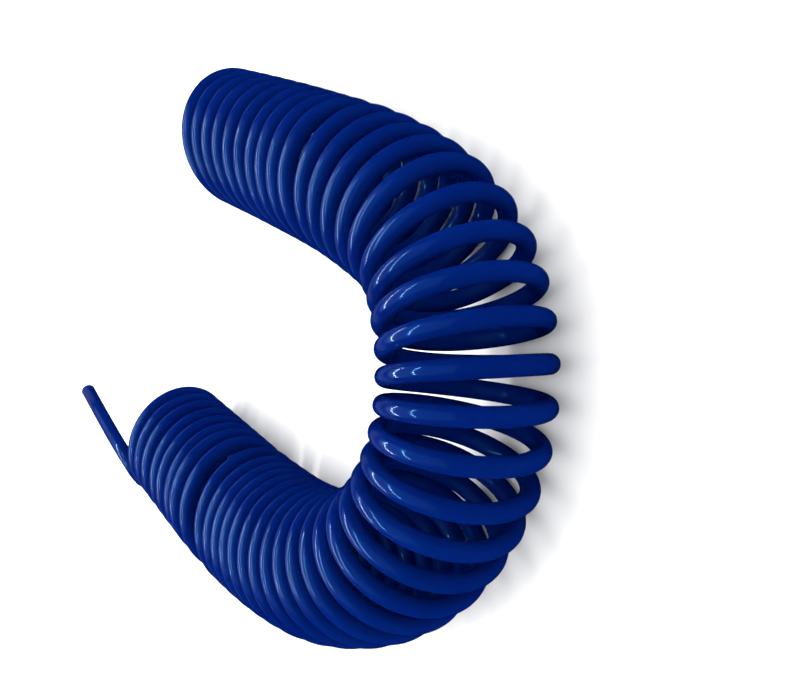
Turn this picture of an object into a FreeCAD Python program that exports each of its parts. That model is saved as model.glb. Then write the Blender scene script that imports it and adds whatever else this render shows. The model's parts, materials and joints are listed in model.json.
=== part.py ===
"""A recoil air hose: one blue polyurethane tube wound into a spring, lying in a U on a flat surface.

Units are millimetres, +Z is up and the surface is z = 0. The origin is the middle of the hose's
footprint. The bend is on the -Y side and both legs of the U run away towards +Y.

The hose is one extrusion. It is built as six stretches that meet face to face: four stretches of the
coil, each a solid of the coil's outside diameter, and the two ends, which are real hollow tube.
"""

import FreeCAD, Part
import math
import os

# ---------------------------------------------------------------- driving dimensions

TUBE_OD = 8.0               # standard 8 x 5 polyurethane tube
TUBE_ID = 5.0
COIL_MEAN_DIAMETER = 61.0   # centre of the tube to centre of the tube, across one turn
COIL_OD = COIL_MEAN_DIAMETER + TUBE_OD
AXIS_HEIGHT = COIL_OD / 2   # the coil lies on the surface
FLOOR_HEIGHT = TUBE_OD / 2  # centre of a tube that lies on the surface

# Middle of the footprint, in the numbers that the routes below are written in.
FOOTPRINT_MIDDLE = (15.2, 149.2)

# Corner points (x, y) of the coil's axis, from the end of the first leg, round the bend, to the
# end of the second leg. Each corner is rounded by the largest arc that its runs allow.
COIL_AXIS = [
    (119, 194), (106, 151), (92, 108), (75, 58), (50, 12), (8, -5), (-35, 1),
    (-72, 31), (-88, 78), (-86, 120), (-76, 165), (-64, 205), (-48, 255),
]

# The stretches of the coil, each up to the middle of the run after the corner with this number.
COIL_STRETCHES = [
    ("coil_first_leg", 3),
    ("coil_bend", 8),
    ("coil_second_leg", 10),
    ("coil_slipped_turns", None),
]

# Corner points (x, y, z) of the two ends, from the cut tip to a point inside the coil.
FREE_END = [(-23, 334, 60), (-47, 289, 60), (-58, 265, 60), (-67, 240, 50)]
HIDDEN_END = [
    (121, 269, FLOOR_HEIGHT), (101, 223, FLOOR_HEIGHT),
    (110, 200, FLOOR_HEIGHT), (132, 190, FLOOR_HEIGHT),
]

ARC_SHARE = 0.45            # share of the shorter run that each arc takes


# ---------------------------------------------------------------- routes

def placed(point, height=AXIS_HEIGHT):
    """A route's point in the part's frame; a point of the coil's axis gets the axis height."""
    x, y = point[0] - FOOTPRINT_MIDDLE[0], point[1] - FOOTPRINT_MIDDLE[1]
    z = point[2] if len(point) > 2 else height
    return FreeCAD.Vector(x, y, z)


def unit(vector):
    return vector / vector.Length


def corner_arc(before, corner, after, name):
    """The arc that rounds a corner, tangent to both runs."""
    back, ahead = unit(before - corner), unit(after - corner)
    reach = ARC_SHARE * min((before - corner).Length, (after - corner).Length)
    half_turn = (math.pi - back.getAngle(ahead)) / 2
    radius = reach / math.tan(half_turn)
    inward = unit(back + ahead)
    middle = corner + inward * (radius / math.cos(half_turn) - radius)
    print(f"{name}: radius {radius:.0f} mm, {math.degrees(2 * half_turn):.0f} degrees")
    return Part.Arc(corner + back * reach, middle, corner + ahead * reach)


def rounded_runs(points, name):
    """One list of edges per corner: from the middle of its first run to the middle of its last.

    The first list starts at the route's first point, and the last ends at its last point.
    """
    corners = []
    for i in range(1, len(points) - 1):
        arc = corner_arc(points[i - 1], points[i], points[i + 1], f"{name}, corner {i}")
        start = points[0] if i == 1 else (points[i - 1] + points[i]) / 2
        last = i == len(points) - 2
        end = points[-1] if last else (points[i] + points[i + 1]) / 2
        corners.append([
            Part.LineSegment(start, arc.StartPoint).toShape(),
            arc.toShape(),
            Part.LineSegment(arc.EndPoint, end).toShape(),
        ])
    return corners


def swept(edges, diameter):
    """A round bar of this diameter along a chain of tangent lines and arcs."""
    path = Part.Wire(edges)
    start = edges[0].valueAt(edges[0].FirstParameter)
    along = edges[0].tangentAt(edges[0].FirstParameter)
    section = Part.Wire(Part.makeCircle(diameter / 2, start, along))
    bar = path.makePipeShell([section], True, False)
    expected = path.Length * math.pi * diameter ** 2 / 4
    print(f"  length {path.Length:.1f} mm, volume {bar.Volume / expected:.4f} of section x length")
    return bar


# ---------------------------------------------------------------- sub-parts

def coil_stretches():
    """The coil's fat solids, which meet at the middle of a run."""
    corners = rounded_runs([placed(p) for p in COIL_AXIS], "coil axis")
    stretches = {}
    first = 0
    for name, last in COIL_STRETCHES:
        last = len(corners) if last is None else last
        edges = [edge for corner in corners[first:last] for edge in corner]
        stretches[name] = swept(edges, COIL_OD)
        first = last
    return stretches


def tube_end(points, coil_stretch, name):
    """A straight, square-cut end of the tube with its bore, up to the coil that it leaves."""
    corners = rounded_runs([placed(p) for p in points], name)
    edges = [edge for corner in corners for edge in corner]
    tube = swept(edges, TUBE_OD).cut(swept(edges, TUBE_ID))
    outside = tube.cut(coil_stretch)
    tip = placed(points[0])
    return min(outside.Solids, key=lambda solid: solid.distToShape(Part.Vertex(tip))[0])


def build():
    parts = coil_stretches()
    parts["free_end"] = tube_end(FREE_END, parts["coil_slipped_turns"], "free end")
    parts["hidden_end"] = tube_end(HIDDEN_END, parts["coil_first_leg"], "hidden end")
    return parts


os.makedirs("parts", exist_ok=True)
whole = FreeCAD.BoundBox()
for node, shape in build().items():
    shape.exportStep(f"parts/{node}.step")
    whole.add(shape.optimalBoundingBox())
    print(node, "valid", shape.isValid(), "solids", len(shape.Solids), f"volume {shape.Volume:.0f}")
print(f"x {whole.XMin:.2f} to {whole.XMax:.2f}")
print(f"y {whole.YMin:.2f} to {whole.YMax:.2f}")
print(f"z {whole.ZMin:.2f} to {whole.ZMax:.2f}")
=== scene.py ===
import json
import math

import bpy
from mathutils import Matrix, Vector

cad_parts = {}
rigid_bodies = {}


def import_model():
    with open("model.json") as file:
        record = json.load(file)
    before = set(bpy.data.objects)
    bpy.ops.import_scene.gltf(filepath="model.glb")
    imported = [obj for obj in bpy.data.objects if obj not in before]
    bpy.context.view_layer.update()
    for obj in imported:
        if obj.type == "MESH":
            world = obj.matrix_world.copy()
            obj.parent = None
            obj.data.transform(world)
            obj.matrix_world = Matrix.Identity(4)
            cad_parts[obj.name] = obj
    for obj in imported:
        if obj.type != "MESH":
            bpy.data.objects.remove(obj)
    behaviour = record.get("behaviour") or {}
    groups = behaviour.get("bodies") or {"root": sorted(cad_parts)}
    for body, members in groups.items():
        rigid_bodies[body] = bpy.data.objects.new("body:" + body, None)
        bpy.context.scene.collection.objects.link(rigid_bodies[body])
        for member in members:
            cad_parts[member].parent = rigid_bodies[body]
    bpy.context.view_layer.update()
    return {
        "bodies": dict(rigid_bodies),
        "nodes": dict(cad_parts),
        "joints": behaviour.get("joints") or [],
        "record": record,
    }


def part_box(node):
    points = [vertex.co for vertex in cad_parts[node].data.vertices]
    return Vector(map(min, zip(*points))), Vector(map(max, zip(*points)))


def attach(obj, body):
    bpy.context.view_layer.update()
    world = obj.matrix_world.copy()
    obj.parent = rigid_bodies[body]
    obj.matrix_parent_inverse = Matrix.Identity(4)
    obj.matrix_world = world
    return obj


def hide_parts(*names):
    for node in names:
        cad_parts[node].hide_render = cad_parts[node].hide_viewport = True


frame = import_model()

# ---------------------------------------------------------------- the hose (metres)

MM = 0.001
TUBE_OD = 8 * MM
TUBE_ID = 5 * MM
AXIS_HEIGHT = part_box("coil_bend")[1][2] / 2
FLOOR_HEIGHT = TUBE_OD / 2 / MM     # centre of a tube that lies on the floor, in mm

# The routes below are in mm, and this point of them is the frame's origin.
FOOTPRINT_MIDDLE = (15.2, 149.2)

# Control points (x, y) of the coil's axis, from the first leg, round the bend, to the second.
COIL_AXIS = [
    (119, 194), (106, 151), (92, 108), (75, 58), (50, 12), (8, -5), (-35, 1),
    (-72, 31), (-88, 78), (-86, 120), (-76, 165), (-64, 205), (-48, 255),
]

# Control points (x, y, z) of the two ends, each from its cut tip towards the coil.
FREE_END = [(-23, 334, 60), (-47, 289, 60), (-58, 265, 60), (-74, 266, 49)]
HIDDEN_END = [(121, 269, FLOOR_HEIGHT), (101, 223, FLOOR_HEIGHT), (110, 200, FLOOR_HEIGHT)]

# How the turns lie, at some of them: the turn, its pitch along the axis in mm, in degrees how far
# it is swung about the vertical and how far its top leans along the axis, and its radius in mm.
# All change evenly from one row to the next.
COIL_LAY = [
    (0, 11.5, 16, 6, 31.5), (9, 12, 6, 5, 30.5), (13, 13, -5, 2, 30.5), (16, 13.3, -6, 0, 30),
    (18, 12.5, -1, -2, 30.5), (22, 13.5, 2, -2, 30.5), (27, 12.5, 8, 0, 30.5),
    (34, 10, 12, 0, 30.5), (38, 12.5, 7, -8, 30.5), (47, 11, 2, -6, 28.5),
]

# Turns that have slipped along the coil, and by how many mm.
SLIPPED = {
    8: -2, 9: -3, 10: -4, 15: -1, 17: 0.5, 18: -0.5,
    35: -0.5, 36: -1.5, 37: -3, 38: -5, 39: 2, 40: 4, 43: -2,
}
FIRST_TURN_AT = 5                   # mm along the axis where the first turn starts
FIRST_TURN, LAST_TURN = 0.6, 46.85

# How finely the curves and the tube are cut.
POINTS_PER_TURN = 24                # control points in one turn
AXIS_STEPS = 24                     # steps between two control points of the axis
HOSE_STEPS = 3                      # steps between two control points of the hose
TUBE_SIDES = 20
MOUTH_RINGS = 30                    # rings of the bore behind each mouth


def in_frame(x, y, z=None):
    """A route's point, in mm, as a place in the frame."""
    height = AXIS_HEIGHT if z is None else z * MM
    return Vector(((x - FOOTPRINT_MIDDLE[0]) * MM, (y - FOOTPRINT_MIDDLE[1]) * MM, height))


def spline_points(name, points, resolution):
    """The points of the smooth line that has these control points."""
    curve = bpy.data.curves.new(name, "CURVE")
    curve.dimensions = "3D"
    spline = curve.splines.new("NURBS")
    spline.points.add(len(points) - 1)
    for control, place in zip(spline.points, points):
        control.co = (*place, 1.0)
    spline.order_u = 3
    spline.use_endpoint_u = True
    spline.resolution_u = resolution
    holder = bpy.data.objects.new(name, curve)
    mesh = bpy.data.meshes.new_from_object(holder)
    line = [vertex.co.copy() for vertex in mesh.vertices]
    bpy.data.objects.remove(holder)
    bpy.data.curves.remove(curve)
    bpy.data.meshes.remove(mesh)
    return line


class Route:
    """A line that can be read at any distance along it."""

    def __init__(self, points):
        self.points = points
        self.reach = [0.0]
        for a, b in zip(points, points[1:]):
            self.reach.append(self.reach[-1] + (b - a).length)
        self.step = 0

    def at(self, distance):
        """The place and the direction at a distance; distances are asked for in rising order."""
        last = len(self.points) - 2
        while self.step < last and self.reach[self.step + 1] < distance:
            self.step += 1
        a, b = self.points[self.step], self.points[self.step + 1]
        share = (distance - self.reach[self.step]) / (b - a).length
        # past its end the line runs straight on
        return a.lerp(b, share), self.smooth_direction(min(share, 1))

    def smooth_direction(self, share):
        """The direction part of the way along this step, without a jump from step to step."""
        i = self.step
        last = len(self.points) - 1
        here = self.points[i + 1] - self.points[max(i - 1, 0)]
        there = self.points[min(i + 2, last)] - self.points[i]
        return here.lerp(there, share).normalized()


def between_rows(rows, key):
    """The values at a key, in proportion between the rows of a table."""
    for low, high in zip(rows, rows[1:]):
        if key <= high[0]:
            break
    share = (key - low[0]) / (high[0] - low[0])
    return [a + (b - a) * share for a, b in zip(low[1:], high[1:])]


def slip_at(turn):
    """How far the hose has slipped along the coil there, in metres."""
    whole = math.floor(turn)
    before, after = SLIPPED.get(whole, 0), SLIPPED.get(whole + 1, 0)
    return (before + (after - before) * (turn - whole)) * MM


def coil_points():
    """Control points of the turns, from the underside of the first one."""
    axis = Route(spline_points("coil_axis", [in_frame(*p) for p in COIL_AXIS], AXIS_STEPS))
    step_angle = math.tau / POINTS_PER_TURN
    # on a circle, the control points of a quadratic curve stand this much outside it
    outside = 1 / (0.75 + 0.25 * math.cos(step_angle))
    points = []
    distance = FIRST_TURN_AT * MM
    for i in range(round((LAST_TURN - FIRST_TURN) * POINTS_PER_TURN) + 1):
        turn = FIRST_TURN + i / POINTS_PER_TURN
        pitch, swing, lean, radius = between_rows(COIL_LAY, turn)
        centre, ahead = axis.at(distance)
        centre = centre + slip_at(turn) * ahead
        centre.z = TUBE_OD / 2 + radius * MM
        facing = Matrix.Rotation(math.radians(swing), 3, "Z") @ ahead
        side = Vector((-facing.y, facing.x, 0))
        tilt = math.radians(lean)
        top = math.cos(tilt) * Vector((0, 0, 1)) + math.sin(tilt) * facing
        angle = i * step_angle - math.pi / 2
        reach = radius * MM * outside
        points.append(centre + reach * (math.cos(angle) * side + math.sin(angle) * top))
        distance += pitch * MM / POINTS_PER_TURN
    return points


def hose_line():
    """The hose's centreline, from the hidden tip, through the coil, to the free tip."""
    control = [in_frame(*p) for p in HIDDEN_END]
    control += coil_points()
    control += [in_frame(*p) for p in reversed(FREE_END)]
    return spline_points("hose_line", control, HOSE_STEPS)


def swept_frames(line):
    """(place, direction, sideways, upwards) along the line, turning as little as it can."""
    frames = []
    side = None
    for i, place in enumerate(line):
        ahead = (line[min(i + 1, len(line) - 1)] - line[max(i - 1, 0)]).normalized()
        side = ahead.orthogonal() if side is None else side - side.dot(ahead) * ahead
        side = side.normalized()
        frames.append((place, ahead, side, ahead.cross(side)))
    return frames


def tube_mesh(name, line):
    """The outside of the tube, square-cut at both ends, with the mouth of the bore."""
    frames = swept_frames(line)
    vertices, faces = [], []

    def ring(frame, radius, shift=0.0):
        place, ahead, side, up = frame
        first = len(vertices)
        for k in range(TUBE_SIDES):
            angle = math.tau * k / TUBE_SIDES
            outward = math.cos(angle) * side + math.sin(angle) * up
            vertices.append(place + ahead * shift + radius * outward)
        return first

    def bridge(a, b):
        for k in range(TUBE_SIDES):
            n = (k + 1) % TUBE_SIDES
            faces.append((a + k, a + n, b + n, b + k))

    # the cut edges are barely rounded
    edge = 0.25 * MM
    outer, inner = TUBE_OD / 2, TUBE_ID / 2
    bore_start = [ring(f, inner) for f in reversed(frames[:MOUTH_RINGS])]
    lip = [ring(frames[0], inner + edge), ring(frames[0], outer - edge)]
    skin = [ring(frames[0], outer, edge)] + [ring(f, outer) for f in frames[1:-1]]
    skin.append(ring(frames[-1], outer, -edge))
    far_lip = [ring(frames[-1], outer - edge), ring(frames[-1], inner + edge)]
    bore_end = [ring(f, inner) for f in reversed(frames[-MOUTH_RINGS:])]
    rings = bore_start + lip + skin + far_lip + bore_end
    for a, b in zip(rings, rings[1:]):
        bridge(a, b)
    # a wall closes each bore, out of sight
    faces.append(tuple(range(TUBE_SIDES)))
    faces.append(tuple(reversed(range(rings[-1], rings[-1] + TUBE_SIDES))))
    mesh = bpy.data.meshes.new(name)
    mesh.from_pydata(vertices, [], faces)
    mesh.polygons.foreach_set("use_smooth", [True] * len(mesh.polygons))
    mesh.update()
    return mesh


# ---------------------------------------------------------------- material

def set_inputs(node, values):
    for name, value in values.items():
        node.inputs[name].default_value = value


def blue_polyurethane():
    """Deep blue polyurethane: a satin skin under a thin, clear gloss."""
    material = bpy.data.materials.new("blue_polyurethane")
    material.use_nodes = True
    nodes, links = material.node_tree.nodes, material.node_tree.links
    shader = nodes["Principled BSDF"]
    set_inputs(shader, {
        "IOR": 1.5,
        "Specular IOR Level": 0.5,
        "Specular Tint": (0.05, 0.45, 1.0, 1),
        "Coat Weight": 0.12,
        "Coat Roughness": 0.03,
        "Coat IOR": 1.4,
        "Subsurface Weight": 0.8,
        "Subsurface Radius": (0.05, 0.3, 1.0),
        "Subsurface Scale": 0.01,
    })
    place = nodes.new("ShaderNodeTexCoord")

    cloud = nodes.new("ShaderNodeTexNoise")
    set_inputs(cloud, {"Scale": 30, "Detail": 2})
    links.new(place.outputs["Object"], cloud.inputs["Vector"])
    tint = nodes.new("ShaderNodeValToRGB")
    tint.color_ramp.elements[0].position = 0.35
    tint.color_ramp.elements[0].color = (0.0004, 0.009, 0.105, 1)
    tint.color_ramp.elements[1].position = 0.65
    tint.color_ramp.elements[1].color = (0.0006, 0.011, 0.12, 1)
    links.new(cloud.outputs["Fac"], tint.inputs["Fac"])
    links.new(tint.outputs["Color"], shader.inputs["Base Color"])

    polish = nodes.new("ShaderNodeMapRange")
    set_inputs(polish, {"To Min": 0.09, "To Max": 0.13})
    links.new(cloud.outputs["Fac"], polish.inputs["Value"])
    links.new(polish.outputs["Result"], shader.inputs["Roughness"])

    ripple = nodes.new("ShaderNodeTexNoise")
    set_inputs(ripple, {"Scale": 260, "Detail": 3})
    links.new(place.outputs["Object"], ripple.inputs["Vector"])
    bump = nodes.new("ShaderNodeBump")
    set_inputs(bump, {"Strength": 0.08, "Distance": 0.0004})
    links.new(ripple.outputs["Fac"], bump.inputs["Height"])
    links.new(bump.outputs["Normal"], shader.inputs["Normal"])
    links.new(bump.outputs["Normal"], shader.inputs["Coat Normal"])
    return material


# ---------------------------------------------------------------- the piece, camera and light

def make_hose():
    """The whole hose as one piece of tube, which stands for every node."""
    line = hose_line()
    hose = bpy.data.objects.new("hose", tube_mesh("hose", line))
    bpy.context.scene.collection.objects.link(hose)
    hose.data.materials.append(blue_polyurethane())
    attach(hose, "root")
    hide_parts(*frame["nodes"])


def make_camera():
    """Beyond the bend, looking down at it, with the camera held on its side."""
    elevation = math.radians(36)
    roll = math.radians(-2)
    forward = Vector((0, math.cos(elevation), -math.sin(elevation)))
    upright = Vector((0, math.sin(elevation), math.cos(elevation)))
    sideways = Vector((1, 0, 0))
    image_right = -math.cos(roll) * upright - math.sin(roll) * sideways
    image_up = -math.sin(roll) * upright + math.cos(roll) * sideways
    camera = bpy.data.objects.new("camera", bpy.data.cameras.new("camera"))
    camera.data.sensor_width = 36
    camera.data.lens = 46
    camera.data.clip_start = 0.01
    turn = Matrix((image_right, image_up, -forward)).transposed()
    camera.matrix_world = Matrix.Translation(in_frame(10, -295, 278)) @ turn.to_4x4()
    bpy.context.scene.collection.objects.link(camera)
    bpy.context.scene.camera = camera


def area_light(name, place, target, width, depth, power):
    light = bpy.data.lights.new(name, "AREA")
    light.shape = "RECTANGLE"
    light.size = width
    light.size_y = depth
    light.energy = power
    holder = bpy.data.objects.new(name, light)
    holder.location = place
    holder.rotation_euler = (Vector(target) - Vector(place)).to_track_quat("-Z", "Y").to_euler()
    bpy.context.scene.collection.objects.link(holder)


def make_studio():
    """A pale floor and soft light from above and beyond, with two thin strips for the glints."""
    bpy.ops.mesh.primitive_plane_add(size=6)
    floor = bpy.context.object
    floor.name = "floor"
    pale = bpy.data.materials.new("pale_floor")
    pale.use_nodes = True
    shader = pale.node_tree.nodes["Principled BSDF"]
    set_inputs(shader, {"Base Color": (0.93, 0.93, 0.93, 1), "Roughness": 0.7})
    floor.data.materials.append(pale)
    # flags keep the pale surroundings out of the gloss, as black cards beside a product do
    floor.visible_glossy = False
    world = bpy.data.worlds.new("studio")
    world.use_nodes = True
    set_inputs(world.node_tree.nodes["Background"], {"Color": (1, 1, 1, 1), "Strength": 1.5})
    bpy.context.scene.world = world
    world.cycles_visibility.glossy = False
    bpy.context.scene.view_settings.view_transform = "Standard"
    area_light("softbox", (0, 0.15, 1.0), (0, 0, 0), width=1.8, depth=2.4, power=6.5)
    area_light("far_strip", (0, 0.5, 0.62), (0, 0, 0), width=1.0, depth=0.015, power=3)
    area_light("overhead_strip", (0, 0.1, 0.9), (0, 0, 0), width=1.0, depth=0.015, power=3)
    area_light("back_card", (0, 1.3, 0.25), (0, 0, 0.03), width=2.4, depth=0.5, power=0.6)


make_camera()
make_hose()
make_studio()
